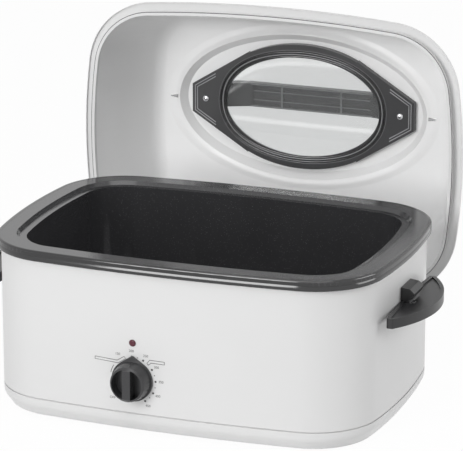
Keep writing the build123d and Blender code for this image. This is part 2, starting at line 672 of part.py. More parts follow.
def lid_handle():
    """Long moulded bridge over the window, hollow and ribbed underneath."""
    top = LID_TOP + LID_HANDLE_HEIGHT
    under = top - LID_HANDLE_THICKNESS
    foot = LID_SCREW_X + 14
    points = [
        (-foot, LID_TOP), (-foot + 6, top - 20), (-100, top), (100, top),
        (foot - 6, top - 20), (foot, LID_TOP),
    ]
    outside = FilletPolyline(*points, radius=[18, 45, 45, 18])
    inside_points = [
        (foot - 30, LID_TOP), (foot - 34, under - 14), (92, under), (-92, under),
        (-foot + 34, under - 14), (-foot + 30, LID_TOP),
    ]
    inside = FilletPolyline(*inside_points, radius=[10, 25, 25, 10])
    side_view = make_face([
        *outside.edges(), Line(points[-1], inside_points[0]),
        *inside.edges(), Line(inside_points[-1], points[0]),
    ])
    bridge = extrude(Plane.XZ * side_view, amount=LID_HANDLE_WIDTH / 2, both=True)
    trough = Pos(0, 0, under) * Box(176, LID_HANDLE_WIDTH - 7, 2 * LID_HANDLE_THICKNESS - 7)
    for x in (-44, 44):
        trough -= Pos(x, 0, under) * Box(2.4, LID_HANDLE_WIDTH, 40)
    for y in (-6, 6):
        trough -= Pos(0, y, under) * Box(220, 1.6, 40)
    bridge -= trough
    for side in (-1, 1):
        bridge -= Pos(side * LID_SCREW_X, 0, LID_TOP + 4) * Cylinder(SCREW_RADIUS, 9)
    return Pos(0, -WINDOW_FORWARD, 0) * bridge


# ---------------------------------------------------------------- lid linkage
def side_plate(x, thickness, profile):
    """Extrude a (y, z) profile along X, centred on `x`."""
    return Pos(x, 0, 0) * extrude(Plane.YZ * profile, amount=thickness / 2, both=True)


def swing_arm(side):
    """Flat link with a boss at each end."""
    bar = Pos(PIVOT_Y, (ARM_PIVOT_Z + LID_PIVOT_Z) / 2) * Rectangle(ARM_WIDTH, ARM_LENGTH)
    for z in (ARM_PIVOT_Z, LID_PIVOT_Z):
        bar += Pos(PIVOT_Y, z) * Circle(ARM_BOSS_RADIUS)
    bar -= Pos(PIVOT_Y, ARM_PIVOT_Z) * Circle(PIVOT_RADIUS + RUNNING_GAP)
    bar -= Pos(PIVOT_Y, LID_PIVOT_Z) * Circle(PIVOT_RADIUS)
    return side_plate(side * ARM_X, ARM_THICKNESS, bar)


def pivot_rod():
    """Cross rod that ties both arms and carries the lid's ears."""
    return rod(
        (-ROD_HALF_LENGTH, PIVOT_Y, LID_PIVOT_Z), (ROD_HALF_LENGTH, PIVOT_Y, LID_PIVOT_Z), PIVOT_RADIUS
    )


def hinge_bracket(side):
    """Forked bracket welded to the back wall."""
    cheek = make_hull([
        *(Pos(PIVOT_Y, ARM_PIVOT_Z) * Circle(ARM_BOSS_RADIUS)).edges(),
        *(Pos(PIVOT_Y - 50, ARM_PIVOT_Z) * Rectangle(10, BRACKET_HEIGHT)).edges(),
    ])
    cheek -= Pos(PIVOT_Y, ARM_PIVOT_Z) * Circle(PIVOT_RADIUS)
    apart = ARM_THICKNESS / 2 + CHEEK_GAP + CHEEK_THICKNESS / 2
    fork = [side_plate(side * ARM_X + shift, CHEEK_THICKNESS, cheek) for shift in (-apart, apart)]
    web = Pos(side * ARM_X, PIVOT_Y - 40, ARM_PIVOT_Z) * Box(34, 60, BRACKET_HEIGHT)
    web &= slab(CHEEK_THICKNESS - WALL_INSET, 0, RIM_HEIGHT)
    return web + fork - slab(-WALL_INSET, 0, RIM_HEIGHT)


def hinge_pins():
    """Headed pins through the brackets and arms."""
    half = ARM_THICKNESS / 2 + CHEEK_GAP + CHEEK_THICKNESS
    pins = []
    for side in (-1, 1):
        inner, outer = side * (ARM_X - half), side * (ARM_X + half)
        pin = rod((inner, PIVOT_Y, ARM_PIVOT_Z), (outer, PIVOT_Y, ARM_PIVOT_Z), PIVOT_RADIUS)
        head = rod((outer, PIVOT_Y, ARM_PIVOT_Z), (outer + side * 2, PIVOT_Y, ARM_PIVOT_Z), 6)
        pins.append(pin + head)
    return pins


def lid_ears():
    """Two bent plates on the lid's rear band that turn on the cross rod, drawn closed."""
    ears = []
    for side in (-1, 1):
        rim = -front_wall_y(EAR_X, 0)
        leg = Polygon(
            (PIVOT_Y - 5, -PIVOT_BELOW_HEM), (PIVOT_Y + 6, -PIVOT_BELOW_HEM),
            (PIVOT_Y + 6, LID_BAND_HEIGHT + 10), (rim - LID_SKIRT_INSET, LID_BAND_HEIGHT + 10),
            (rim - LID_SKIRT_INSET, LID_BAND_HEIGHT), (PIVOT_Y - 5, LID_BAND_HEIGHT), align=None,
        )
        leg += Pos(PIVOT_Y, -PIVOT_BELOW_HEM) * Circle(ARM_BOSS_RADIUS)
        leg -= Pos(PIVOT_Y, -PIVOT_BELOW_HEM) * Circle(PIVOT_RADIUS + RUNNING_GAP)
        ear = side_plate(side * EAR_X, EAR_THICKNESS, leg)
        foot = Pos(side * (EAR_X - 8), rim - 3, LID_BAND_HEIGHT + 1) * Box(18, 10, 2)
        ears.append(ear + foot)
    return ears


def opened(piece):
    """Move a lid piece from its closed drawing to the open lid behind the body."""
    to_pivot = Pos(0, -PIVOT_Y, PIVOT_BELOW_HEM)
    return Pos(0, PIVOT_Y, LID_PIVOT_Z) * Rot(X=-90) * to_pivot * piece


# ---------------------------------------------------------------- the whole oven
LID_PIECES = {
    "lid_shell": lid_shell,
    "window_frame": window_frame,
    "window_glass": window_glass,
    "window_gasket": window_gasket,
    "window_screws": window_screws,
    "lid_handle": lid_handle,
    "lid_ears": lid_ears,
}

BODY_PIECES = {
    "outer_housing": outer_housing,
    "base_pan": base_pan,
    "rubber_feet": rubber_feet,
    "support_posts": support_posts,
    "base_screws": base_screws,
    "rim_trim": rim_trim,
    "inner_liner": inner_liner,
    "heating_band": heating_band,
    "insulation_blanket": insulation_blanket,
    "thermostat": thermostat,
    "thermostat_nut": thermostat_nut,
    "control_shaft": control_shaft,
    "control_knob": control_knob,
    "indicator_lens": indicator_lens,
    "indicator_lamp": indicator_lamp,
    "cord_gland": cord_gland,
    "terminal_block": terminal_block,
    "handle_right": handle_right,
    "handle_screws": handle_screws,
    "roasting_pan": roasting_pan,
    "rack_frame": rack_frame,
    "rack_bars": rack_bars,
    "rack_bail_right": rack_bail_right,
    "pivot_rod": pivot_rod,
    "hinge_pins": hinge_pins,
}


def solids_of(piece):
    """The separate solids of a piece or a list of pieces."""
    if isinstance(piece, list):
        return [solid for each in piece for solid in each.solids()]
    return piece.solids()


def build():
    """Every node by name, each a list of solids, with the body's centre at X = Y = 0."""
    nodes = {name: solids_of(make()) for name, make in BODY_PIECES.items()}
    for name in ("handle", "rack_bail"):
        nodes[f"{name}_left"] = [mirrored_x(solid) for solid in nodes[f"{name}_right"]]
    for side, name in ((-1, "left"), (1, "right")):
        nodes[f"swing_arm_{name}"] = solids_of(swing_arm(side))
        nodes[f"hinge_bracket_{name}"] = solids_of(hinge_bracket(side))
    for name, make in LID_PIECES.items():
        nodes[name] = [opened(solid) for solid in solids_of(make())]
    return nodes


nodes = build()
box = Compound([solid for solids in nodes.values() for solid in solids]).bounding_box()
centred = Pos(-box.center().X, -box.center().Y, 0)
for name, solids in nodes.items():
    export_step(Compound([centred * solid for solid in solids]), f"parts/{name}.step")
print(f"shift in Y {-box.center().Y:.4f}, size {box.size.X:.1f} x {box.size.Y:.1f} x {box.size.Z:.1f}")
print(f"arm pivot y {PIVOT_Y - box.center().Y:.4f} z {ARM_PIVOT_Z:.4f}, lid pivot z {LID_PIVOT_Z:.4f}")
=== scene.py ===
import math
import bpy
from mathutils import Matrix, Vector
from mathutils.bvhtree import BVHTree


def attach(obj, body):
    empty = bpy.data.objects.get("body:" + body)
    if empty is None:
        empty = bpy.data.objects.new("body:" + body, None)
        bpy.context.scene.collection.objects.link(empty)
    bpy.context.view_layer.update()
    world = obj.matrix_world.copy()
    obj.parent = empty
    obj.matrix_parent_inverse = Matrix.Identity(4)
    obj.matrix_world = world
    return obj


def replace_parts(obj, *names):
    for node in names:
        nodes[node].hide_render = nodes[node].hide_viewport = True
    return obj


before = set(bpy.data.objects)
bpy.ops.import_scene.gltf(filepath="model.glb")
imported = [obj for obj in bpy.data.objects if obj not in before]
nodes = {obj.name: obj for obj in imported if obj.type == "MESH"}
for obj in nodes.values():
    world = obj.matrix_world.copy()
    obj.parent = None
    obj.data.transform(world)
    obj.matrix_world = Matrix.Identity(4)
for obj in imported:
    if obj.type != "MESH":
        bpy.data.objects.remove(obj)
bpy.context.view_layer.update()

bpy.ops.object.select_all(action="DESELECT")

# Camera, floor and studio light.
# A long lens stands well back and a little above the rim. One tall soft lamp
# is in front to the left, a weaker one at the right end and one overhead. Sky
# and floor look brighter than the light they give.
AZIMUTH, ELEVATION = math.radians(20.35), math.radians(16.80)
AIM = Vector((0.0, -0.03367, 0.220))
STAND_BACK = 4.1748
LENS_MM, LENS_SHIFT, FARTHEST = 245.8, -0.0095, 20.0
SKY_LIGHT, SKY_SEEN = 0.22, 1.0
FLOOR_SIZE, FLOOR_GLOW = 12.0, 0.97
away = Vector((
    math.sin(AZIMUTH) * math.cos(ELEVATION),
    -math.cos(AZIMUTH) * math.cos(ELEVATION),
    math.sin(ELEVATION),
))
camera = bpy.data.objects.new("studio_camera", bpy.data.cameras.new("studio_camera"))
bpy.context.collection.objects.link(camera)
camera.location = AIM + away * STAND_BACK
camera.rotation_euler = (math.pi / 2 - ELEVATION, 0.0, AZIMUTH)
camera.data.lens = LENS_MM
camera.data.shift_y = LENS_SHIFT
camera.data.clip_end = FARTHEST
bpy.context.scene.camera = camera
bpy.context.scene.view_settings.view_transform = "Standard"


def soft_lamp(name, place, width, height, power):
    """A large flat lamp that points at the oven."""
    lamp = bpy.data.lights.new(name, "AREA")
    lamp.shape = "RECTANGLE"
    lamp.size = width
    lamp.size_y = height
    lamp.energy = power
    stand = bpy.data.objects.new(name, lamp)
    stand.location = place
    stand.rotation_euler = (AIM - Vector(place)).to_track_quat("-Z", "Y").to_euler()
    bpy.context.collection.objects.link(stand)


def looked_at(tree):
    """A socket that is 1 for what the camera sees directly, mirrored or through glass."""
    ray = tree.nodes.new("ShaderNodeLightPath")
    seen = ray.outputs["Is Camera Ray"]
    for kind in ("Is Glossy Ray", "Is Transmission Ray"):
        either = tree.nodes.new("ShaderNodeMath")
        either.operation = "MAXIMUM"
        tree.links.new(seen, either.inputs[0])
        tree.links.new(ray.outputs[kind], either.inputs[1])
        seen = either.outputs[0]
    return seen


def shader_of(material):
    """The surface node of a material."""
    return material.node_tree.nodes["Principled BSDF"]


soft_lamp("key_lamp", (-0.85, -3.2, 1.30), 1.4, 2.0, 72.0)
soft_lamp("side_lamp", (2.8, 0.55, 1.3), 1.8, 1.8, 36.0)
soft_lamp("top_lamp", (0.3, -1.2, 2.8), 2.2, 2.2, 26.0)

world = bpy.data.worlds.new("studio")
bpy.context.scene.world = world
world.use_nodes = True
sky = world.node_tree
strength = sky.nodes.new("ShaderNodeMapRange")
strength.inputs["To Min"].default_value = SKY_LIGHT
strength.inputs["To Max"].default_value = SKY_SEEN
sky.links.new(looked_at(sky), strength.inputs["Value"])
sky.links.new(strength.outputs["Result"], sky.nodes["Background"].inputs["Strength"])
sky.nodes["Background"].inputs["Color"].default_value = (1.0, 1.0, 1.0, 1.0)

bpy.ops.mesh.primitive_plane_add(size=FLOOR_SIZE, location=(0.0, 0.0, 0.0))
floor = bpy.context.object
floor.name = "pale_floor"
paper = bpy.data.materials.new("pale_paper")
paper.use_nodes = True
tree = paper.node_tree
shader_of(paper).inputs["Base Color"].default_value = (0.86, 0.86, 0.86, 1.0)
shader_of(paper).inputs["Roughness"].default_value = 0.9
glow = tree.nodes.new("ShaderNodeEmission")
blend = tree.nodes.new("ShaderNodeMixShader")
share = tree.nodes.new("ShaderNodeMath")
share.operation = "MULTIPLY"
share.inputs[1].default_value = FLOOR_GLOW
tree.links.new(looked_at(tree), share.inputs[0])
tree.links.new(share.outputs[0], blend.inputs["Fac"])
tree.links.new(shader_of(paper).outputs[0], blend.inputs[1])
tree.links.new(glow.outputs[0], blend.inputs[2])
tree.links.new(blend.outputs[0], tree.nodes["Material Output"].inputs["Surface"])
floor.data.materials.append(paper)

# Base pan.
# A shallow pressed pan of steel sheet closes the oven underneath. It is baked
# with the same white enamel as the wrap, with a very slight orange peel.
GRAIN_DETAIL, GRAIN_STRENGTH = 3.0, 0.5
CLOUD_SCALE, CLOUD_DETAIL = 9.0, 4.0
SHINE_LOW, SHINE_HIGH = 0.85, 1.15
FLAT_WITHIN = math.radians(0.4)


def finish(name, colour, roughness, grain, depth, metallic=0.0, uneven=0.03, streak=(1, 1, 1)):
    """A surface with fine relief and slightly uneven colour and shine; streak draws its grain."""
    made = bpy.data.materials.new(name)
    made.use_nodes = True
    tree = made.node_tree
    shader = shader_of(made)
    shader.inputs["Metallic"].default_value = metallic
    place = tree.nodes.new("ShaderNodeTexCoord")
    drawn = tree.nodes.new("ShaderNodeMapping")
    drawn.inputs["Scale"].default_value = streak
    fine = tree.nodes.new("ShaderNodeTexNoise")
    fine.inputs["Scale"].default_value = grain
    fine.inputs["Detail"].default_value = GRAIN_DETAIL
    relief = tree.nodes.new("ShaderNodeBump")
    relief.inputs["Strength"].default_value = GRAIN_STRENGTH
    relief.inputs["Distance"].default_value = depth
    broad = tree.nodes.new("ShaderNodeTexNoise")
    broad.inputs["Scale"].default_value = CLOUD_SCALE
    broad.inputs["Detail"].default_value = CLOUD_DETAIL
    tint = tree.nodes.new("ShaderNodeMix")
    tint.data_type = "RGBA"
    tint.inputs["A"].default_value = (*[c * (1 - uneven) for c in colour], 1.0)
    tint.inputs["B"].default_value = (*[min(1.0, c * (1 + uneven)) for c in colour], 1.0)
    shine = tree.nodes.new("ShaderNodeMapRange")
    shine.inputs["To Min"].default_value = roughness * SHINE_LOW
    shine.inputs["To Max"].default_value = roughness * SHINE_HIGH
    tree.links.new(place.outputs["Object"], drawn.inputs["Vector"])
    tree.links.new(drawn.outputs["Vector"], fine.inputs["Vector"])
    tree.links.new(drawn.outputs["Vector"], broad.inputs["Vector"])
    tree.links.new(fine.outputs["Fac"], relief.inputs["Height"])
    tree.links.new(relief.outputs["Normal"], shader.inputs["Normal"])
    tree.links.new(broad.outputs["Fac"], tint.inputs["Factor"])
    tree.links.new(tint.outputs["Result"], shader.inputs["Base Color"])
    tree.links.new(broad.outputs["Fac"], shine.inputs["Value"])
    tree.links.new(shine.outputs["Result"], shader.inputs["Roughness"])
    return made


def coat(material, *names):
    """Give the named CAD nodes one finish."""
    for name in names:
        nodes[name].data.materials.clear()
        nodes[name].data.materials.append(material)


def only(piece):
    """Select one piece and nothing else."""
    bpy.ops.object.select_all(action="DESELECT")
    piece.select_set(True)
    bpy.context.view_layer.objects.active = piece


def edit_all(piece):
    """Open a piece's mesh for editing with all of it selected."""
    only(piece)
    bpy.ops.object.mode_set(mode="EDIT")
    bpy.ops.mesh.select_all(action="SELECT")


def fit(piece, name, body, slot, *materials):
    """Name a finished piece, bake its place into its mesh, give it its finish and let it ride."""
    only(piece)
    if piece.type != "MESH":
        bpy.ops.object.convert(target="MESH")
    bpy.ops.object.transform_apply(location=True, rotation=True, scale=True)
    piece.name = name
    piece.data.name = name
    piece.data.materials.clear()
    for material in materials:
        piece.data.materials.append(material)
    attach(piece, body)
    return piece


def smoothed(node, name, body, slot, *materials, rounding=0.0, crease=32.0, weld=0.000004):
    """A merged and smoothed copy of a CAD node, its hard edges rounded, that stands for it."""
    piece = bpy.data.objects.new(name, nodes[node].data.copy())
    bpy.context.collection.objects.link(piece)
    only(piece)
    bpy.ops.mesh.customdata_custom_splitnormals_clear()
    edit_all(piece)
    bpy.ops.mesh.remove_doubles(threshold=weld)
    bpy.ops.mesh.select_all(action="DESELECT")
    bpy.ops.mesh.select_interior_faces()
    bpy.ops.mesh.delete(type="FACE")
    bpy.ops.mesh.select_all(action="SELECT")
    bpy.ops.mesh.dissolve_limited(angle_limit=FLAT_WITHIN)
    bpy.ops.object.mode_set(mode="OBJECT")
    if rounding:
        bpy.ops.object.modifier_add(type="BEVEL")
        edge = piece.modifiers[-1]
        edge.width = rounding
        edge.segments = 2
        edge.limit_method = "ANGLE"
        edge.angle_limit = math.radians(crease)
        bpy.ops.object.modifier_apply(modifier=edge.name)
    bpy.ops.object.shade_smooth_by_angle(angle=math.radians(crease))
    if rounding:
        bpy.ops.object.modifier_add(type="WEIGHTED_NORMAL")
        piece.modifiers[-1].keep_sharp = True
        bpy.ops.object.modifier_apply(modifier=piece.modifiers[-1].name)
    fit(piece, name, body, slot, *materials)
    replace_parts(piece, node)
    return piece


white_enamel = finish("white_enamel", (0.66, 0.66, 0.66), 0.32, 900.0, 0.00003, uneven=0.01)
smoothed("base_pan", "base_pan_skin", "base", "white_paint", white_enamel)

# Rubber feet.
# Four moulded feet of soft black rubber are pushed through the base and held
# by their bulbs. Their skin is dull and a little grainy.
foot_rubber = finish("foot_rubber", (0.02, 0.02, 0.02), 0.75, 1500.0, 0.00012, uneven=0.2)
coat(foot_rubber, "rubber_feet")

# Spacers and screws under the well.
# Hexagonal spacers of bright zinc-plated steel stand on the base, and screws
# from below hold them. The grain of the drawn bar runs up each spacer.
zinc_bar = finish(
    "zinc_bar", (0.66, 0.67, 0.68), 0.32, 1100.0, 0.00004,
    metallic=1.0, uneven=0.08, streak=(1, 1, 0.06),
)
coat(zinc_bar, "support_posts", "base_screws", "handle_screws", "control_shaft")

# Outer wrap.
# The visible wall is painted steel sheet with a flat hem on top and a small
# step at the foot, where the base pan meets it in a fine dark seam. Its panels
# are butt welded and dressed, so that the paint runs over the joins.
OVER_WELD_LINES = 0.00008
wrap = smoothed(
    "outer_housing", "outer_wrap", "base", "white_paint", white_enamel, weld=OVER_WELD_LINES
)

# Inner well.
# The well that holds the heat is aluminised steel, dull silver with a fine
# rolled grain and faint cloudy patches.
aluminised = finish(
    "aluminised_sheet", (0.70, 0.70, 0.70), 0.38, 700.0, 0.00004,
    metallic=1.0, uneven=0.1, streak=(0.1, 1, 1),
)
coat(aluminised, "inner_liner")

# Heating band.
# Resistance wire is wound on mica strips and clamped round the well. The mica
# is tan and flaky, in layers that lie along the band.
mica = finish(
    "mica_layers", (0.46, 0.36, 0.22), 0.45, 420.0, 0.0004, uneven=0.35, streak=(1, 1, 6)
)
coat(mica, "heating_band")

# Insulation.
# A blanket of needled glass fibre fills the space behind the wrap. It is
# straw coloured, soft and dull, with tangled strands.
glass_fibre = finish(
    "glass_fibre_felt", (0.78, 0.72, 0.50), 0.95, 650.0, 0.0015, uneven=0.18, streak=(1, 1, 2.5)
)
coat(glass_fibre, "insulation_blanket")

# Thermostat.
# The thermostat's body is brown moulded phenolic with fine flow marks, clamped
# to the wall by a thin brass nut.
phenolic = finish("phenolic_moulding", (0.075, 0.045, 0.03), 0.5, 900.0, 0.00012, uneven=0.25)
brass = finish(
    "turned_brass", (0.72, 0.52, 0.24), 0.3, 1500.0, 0.00004,
    metallic=1.0, uneven=0.06, streak=(1, 0.1, 1),
)
coat(phenolic, "thermostat")
coat(brass, "thermostat_nut")

# Indicator lamp and lens.
# A neon lamp glows behind a small burgundy lens. The lens is clear dyed
# plastic over a pattern of tiny facets, with a thin moulded collar.
lamp_glass = finish("neon_glass", (0.85, 0.62, 0.50), 0.15, 900.0, 0.00002, uneven=0.05)
coat(lamp_glass, "indicator_lamp")
burgundy = finish("burgundy_lens", (0.085, 0.008, 0.022), 0.16, 1400.0, 0.0006, uneven=0.3)
smoothed("indicator_lens", "lamp_lens", "base", "red_lens", burgundy, rounding=0.0009, crease=25.0)

# Cord bush and connector block.
# The supply cord comes through a black nylon bush low on the back wall and is
# clamped in a glazed ceramic block inside.
nylon = finish("black_nylon", (0.03, 0.03, 0.032), 0.42, 1800.0, 0.00008, uneven=0.12)
coat(nylon, "cord_gland")
ceramic = finish("glazed_ceramic", (0.80, 0.78, 0.71), 0.28, 500.0, 0.00015, uneven=0.06)
coat(ceramic, "terminal_block")

# Rim trim.
# A half-round ring of glossy black phenolic lies between the wrap and the pan's
# lip. It is moulded in one piece and catches the light as a long thin line.
gloss_black = finish("gloss_black", (0.012, 0.012, 0.013), 0.12, 1200.0, 0.00002, uneven=0.1)
GLOSS_IOR = 1.65
shader_of(gloss_black).inputs["IOR"].default_value = GLOSS_IOR
OVEN_Y = -0.0936746
LONG_BOW, SHORT_BOW, CORNER_BEND = 1.970, 0.810, 0.095
LONG_HUB, SHORT_HUB, CORNER_X, CORNER_Y = 1.777, 0.542, 0.1672, 0.0905
SIDE_TURN = math.atan2(CORNER_Y + LONG_HUB, CORNER_X)
END_TURN = math.atan2(CORNER_Y, CORNER_X + SHORT_HUB)
END_STEPS, CORNER_STEPS, SIDE_STEPS = 8, 16, 12
TRIM_BACK, TRIM_FLAT = 0.012, 0.0016
TRIM_FOOT, TRIM_TOP, TRIM_TOP_BACK = 0.2170, 0.2241, 0.2242
TRIM_BEND, TRIM_BEND_HEIGHT = 0.0092, 0.2197


def rim_line(inset):
    """Points along the oval at that inset from the rim: bowed sides joined by round corners."""
    half = []
    for hub_x, hub_y, bend, start, stop, count in (
        (-SHORT_HUB, 0.0, SHORT_BOW, -END_TURN, END_TURN, END_STEPS),
        (CORNER_X, CORNER_Y, CORNER_BEND, END_TURN, SIDE_TURN, CORNER_STEPS),
        (0.0, -LONG_HUB, LONG_BOW, SIDE_TURN, math.pi - SIDE_TURN, SIDE_STEPS),
        (-CORNER_X, CORNER_Y, CORNER_BEND, math.pi - SIDE_TURN, math.pi - END_TURN, CORNER_STEPS),
    ):
        reach = bend - inset
        for number in range(count):
            turn = start + (stop - start) * number / count
            half.append((hub_x + reach * math.cos(turn), hub_y + reach * math.sin(turn)))
    return half + [(-x, -y) for x, y in half]


def carried(name, section, body, slot, material):
    """Carry a closed section of (inset, height) points round the oval."""
    corners = [(x, OVEN_Y + y, height) for inset, height in section for x, y in rim_line(inset)]
    round_count, rows = len(rim_line(0.0)), len(section)
    faces = []
    for row in range(rows):
        for step in range(round_count):
            after, above = (step + 1) % round_count, (row + 1) % rows
            faces.append((
                row * round_count + step, row * round_count + after,
                above * round_count + after, above * round_count + step,
            ))
    skin = bpy.data.meshes.new(name)
    skin.from_pydata(corners, [], faces)
    piece = bpy.data.objects.new(name, skin)
    bpy.context.collection.objects.link(piece)
    edit_all(piece)
    bpy.ops.mesh.normals_make_consistent(inside=False)
    bpy.ops.object.mode_set(mode="OBJECT")
    bpy.ops.object.shade_smooth_by_angle(angle=math.radians(50))
    return fit(piece, name, body, slot, material)


def rounded(inset, height, bend, start, stop):
    """Points of an arc in a section, its angles counted from straight outwards."""
    steps = 8
    turns = [math.radians(start + (stop - start) * step / steps) for step in range(steps + 1)]
    return [(inset - bend * math.cos(turn), height + bend * math.sin(turn)) for turn in turns]


trim_section = [(TRIM_BACK, TRIM_FOOT), (TRIM_FLAT, TRIM_FOOT)]
trim_section += rounded(TRIM_BEND, TRIM_BEND_HEIGHT, TRIM_BEND, -14, 28)
trim_section += [(TRIM_FLAT, TRIM_TOP), (TRIM_BACK, TRIM_TOP_BACK)]
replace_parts(carried("rim_ring", trim_section, "base", "black_plastic", gloss_black), "rim_trim")

# Side handles.
# Half-moon handles of black moulded phenolic stand off the end walls on their
# blocks. Each has a dished top with a round boss and a slotted screw in it.
moulded_black = finish("moulded_black", (0.017, 0.017, 0.018), 0.34, 2200.0, 0.00006, uneven=0.15)
BOSS_X, BOSS_Y, BOSS_Z = 0.2745, -0.0937 - 0.0205, 0.1641
HALF_SLOT, SLOT_DEPTH = 0.00035, 0.0008
for side, word in ((-1, "left"), (1, "right")):
    smoothed(
        "handle_" + word, "carry_handle_" + word, "base", "black_plastic", moulded_black,
        rounding=0.0009, crease=25.0,
    )
    seat = Vector((side * BOSS_X, BOSS_Y, BOSS_Z))
    bpy.ops.mesh.primitive_torus_add(
        major_radius=0.0046, minor_radius=0.0012, major_segments=32, minor_segments=10,
        location=seat,
    )
    fit(bpy.context.object, "handle_boss_" + word, "base", "black_plastic", moulded_black)
    bpy.ops.mesh.primitive_cylinder_add(vertices=28, radius=0.0034, depth=0.0018, location=seat)
    screw = bpy.context.object
    edit_all(screw)
    for edge in (HALF_SLOT, -HALF_SLOT):
        bpy.ops.mesh.select_all(action="SELECT")
        bpy.ops.mesh.bisect(plane_co=seat + Vector((edge, 0, 0)), plane_no=(1, 0, 0))
    bpy.ops.object.mode_set(mode="OBJECT")
    for face in screw.data.polygons:
        face.select = face.normal.z > 0.9 and abs(face.center.x) < HALF_SLOT
    bpy.ops.object.mode_set(mode="EDIT")
    bpy.ops.mesh.select_mode(type="FACE")
    bpy.ops.mesh.extrude_region_move(TRANSFORM_OT_translate={"value": (0, 0, -SLOT_DEPTH)})
    bpy.ops.object.mode_set(mode="OBJECT")
    bpy.ops.object.shade_smooth_by_angle(angle=math.radians(30))
    fit(screw, "handle_top_screw_" + word, "base", "plated", zinc_bar)

# Control knob.
# The knob is moulded in dark grey plastic: a pointer skirt, a domed cap and an
# upright grip between two scoops. It is glossier than the handles.
knob_grey = finish("knob_grey", (0.032, 0.032, 0.034), 0.24, 2600.0, 0.00003, uneven=0.1)
smoothed(
    "control_knob", "dial_knob", "knob", "grey_plastic", knob_grey, rounding=0.0008, crease=25.0
)

# Dial print.
# The scale is screen printed on the wall in black: a dot for each setting, a
# smaller dot between, plain numbers, OFF, and two empty outlined boxes.
ink = finish("dial_ink", (0.02, 0.02, 0.02), 0.45, 3000.0, 0.00001, uneven=0.2)
KNOB_X, KNOB_Z = -0.042, 0.075
DOT_RING, FIRST_DOT, DOT_TURN, DOT_COUNT = 0.0312, 92.5, 15, 11
BIG_DOT, SMALL_DOT, DOT_DEPTH = 0.0014, 0.0007, 0.0002
NUMBER_RING, FIRST_NUMBER, NUMBER_TURN, NUMBER_COUNT = 0.0385, 122.5, 30, 7
LOWEST, NUMBER_STEP, LETTER_SIZE = 150, 50, 0.0046
OFF_PLACE = (-0.0702, 0, 0.0465)
OFF_ARC_START, OFF_ARC_TURN, OFF_ARC_POINTS = 147, 3, 8
OUTLINE_HALF = 0.00042
PRINT_PROUD, PRINT_DEPTH = 0.00012, 0.3
UPRIGHT = (math.pi / 2, 0, 0)
LEFT_BOX = (
    (-0.0942, 0.1004), (-0.0635, 0.0988), (-0.0536, 0.1052), (-0.0516, 0.1022),
    (-0.0622, 0.0954), (-0.0944, 0.0970),
)
RIGHT_BOX = (
    (-0.0226, 0.1000), (-0.0184, 0.1044), (0.0014, 0.1040), (0.0014, 0.1004),
    (-0.0168, 0.1008), (-0.0200, 0.0976),
)
wall = BVHTree.FromPolygons(
    [corner.co for corner in wrap.data.vertices], [face.vertices[:] for face in wrap.data.polygons]
)


def print_on_wall(piece):
    """Lay a flat mesh drawn near y = 0 on the bowed front wall, a hair proud of it."""
    for corner in piece.data.vertices:
        hit = wall.ray_cast(Vector((corner.co.x, -1.0, corner.co.z)), Vector((0, 1, 0)))[0]
        corner.co.y = hit.y - PRINT_PROUD + PRINT_DEPTH * corner.co.y
    return piece


def at_angle(turn, ring):
    """A place on the dial, by its angle from the right and its distance from the knob's centre."""
    turn = math.radians(turn)
    return (KNOB_X + ring * math.cos(turn), 0.0, KNOB_Z + ring * math.sin(turn))


def lettering(text, place, level):
    """Upright text of the dial, centred across its place."""
    bpy.ops.object.text_add(location=place, rotation=UPRIGHT)
    letters = bpy.context.object
    letters.data.body = text
    letters.data.size = LETTER_SIZE
    letters.data.align_x = "CENTER"
    letters.data.align_y = level
    return letters


def drawn_line(points, half_width, smoothness, closed=False, capped=False):
    """A round line through the given points."""
    shape = bpy.data.curves.new("drawn_line", "CURVE")
    shape.dimensions = "3D"
    shape.bevel_depth = half_width
    shape.bevel_resolution = smoothness
    shape.use_fill_caps = capped
    line = shape.splines.new("POLY")
    line.points.add(len(points) - 1)
    for corner, place in zip(line.points, points):
        corner.co = (*place, 1.0)
    line.use_cyclic_u = closed
    piece = bpy.data.objects.new("drawn_line", shape)
    bpy.context.collection.objects.link(piece)
    return piece


marks = []
for step in range(DOT_COUNT):
    bpy.ops.mesh.primitive_cylinder_add(
        vertices=20, radius=SMALL_DOT if step % 2 else BIG_DOT, depth=DOT_DEPTH,
        location=at_angle(FIRST_DOT - DOT_TURN * step, DOT_RING), rotation=UPRIGHT,
    )
    marks.append(bpy.context.object)
for step in range(NUMBER_COUNT):
    place = at_angle(FIRST_NUMBER - NUMBER_TURN * step, NUMBER_RING)
    marks.append(lettering(str(LOWEST + NUMBER_STEP * step), place, "CENTER"))
marks.append(lettering("OFF", OFF_PLACE, "TOP_BASELINE"))
for box in (LEFT_BOX, RIGHT_BOX):
    marks.append(drawn_line([(x, 0.0, z) for x, z in box], OUTLINE_HALF, 1, closed=True))
off_arc = [
    at_angle(OFF_ARC_START + OFF_ARC_TURN * step, DOT_RING) for step in range(OFF_ARC_POINTS)
]
marks.append(drawn_line(off_arc, OUTLINE_HALF, 1))
for mark in marks:
    only(mark)
    if mark.type != "MESH":
        bpy.ops.object.convert(target="MESH")
    bpy.ops.object.transform_apply(location=True, rotation=True, scale=True)
for mark in marks:
    mark.select_set(True)
bpy.ops.object.join()
fit(print_on_wall(bpy.context.object), "dial_print", "base", "black_plastic", ink)

